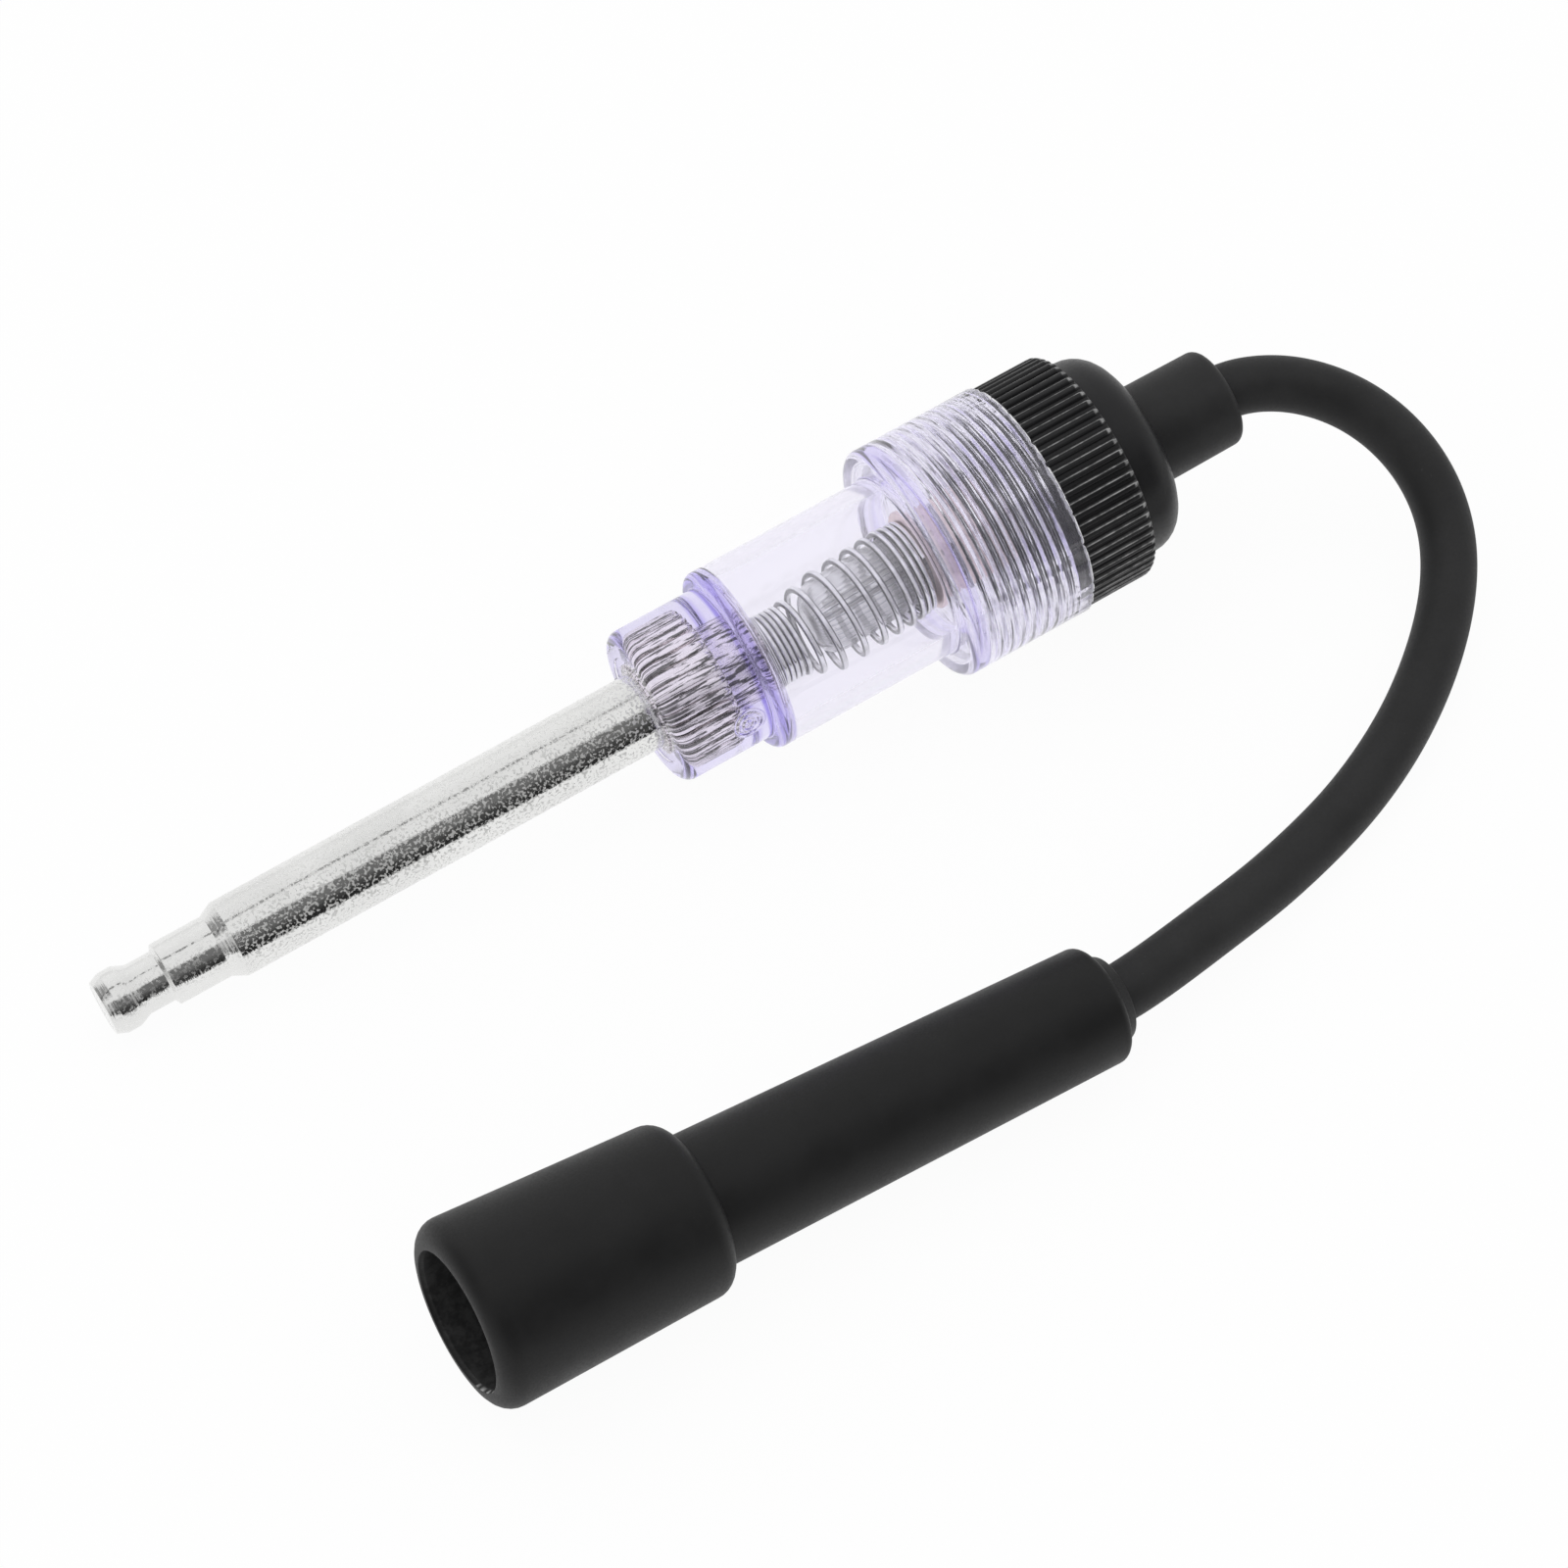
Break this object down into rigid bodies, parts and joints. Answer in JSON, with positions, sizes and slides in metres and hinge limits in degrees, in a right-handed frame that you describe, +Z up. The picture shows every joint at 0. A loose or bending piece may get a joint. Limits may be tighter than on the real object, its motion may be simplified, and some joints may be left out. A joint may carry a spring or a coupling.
{
  "type": "in-line spark plug tester",
  "caption": "Spark plug tester with a plated terminal rod, a clear screw-on lamp housing, a ribbed black cap, a short lead and a rubber plug boot.",
  "frame": {"origin": "on the table under the middle of the tool, the lead and boot not counted", "axes": "+X along the tool from its tip to its lead end, +Z up from the table; the boot lies at -Y"},
  "size_m": [0.1428, 0.0713, 0.0263],
  "materials": {
    "plated_steel": "bright nickel plating",
    "clear_plastic": "clear, polished, faint violet tint",
    "spring_steel": "drawn wire",
    "lamp_glass": "clear",
    "electrode": "dull",
    "lamp_brass": "satin, pinkish brown",
    "solder": "dull",
    "contact_brass": "satin",
    "copper": "bare wire",
    "black_plastic": "satin moulded",
    "black_rubber": "matt moulded",
    "lead_rubber": "satin extruded"
  },
  "bodies": {
    "cap": {"screw_cap": "black_plastic", "lead_sleeve": "black_rubber", "lead_in_cap": "lead_rubber", "core_in_cap": "copper", "crimp_ferrule": "spring_steel", "cap_contact": "contact_brass", "lamp_tip_contact": "solder", "lamp_insulator": "black_plastic", "lamp_base": "lamp_brass", "lamp_glass": "lamp_glass", "lamp_bead": "lamp_glass", "lamp_electrode_base": "electrode", "lamp_electrode_tip": "electrode", "ht_lead": "lead_rubber", "plug_boot": "black_rubber", "lead_in_boot": "lead_rubber", "core_in_boot": "copper", "boot_terminal": "plated_steel", "snap_ring": "spring_steel"},
    "spring": {"contact_spring": "spring_steel"},
    "housing": {"clear_housing": "clear_plastic", "terminal_rod": "plated_steel"}
  },
  "joints": [
    {"name": "housing_slide", "type": "slide", "parent": "cap", "child": "spring", "axis": [-0.9946, 0, -0.1034], "range_m": [0, 0.006]},
    {"name": "housing_turn", "type": "hinge", "parent": "spring", "child": "housing", "pos_m": [0.03959, 0, 0.01358], "axis": [-0.9946, 0, -0.1034], "range_deg": [0, 1728]}
  ],
  "couplings": [
    {"joint": "housing_turn", "follows": "housing_slide", "rad_per_m": 5026.6}
  ]
}
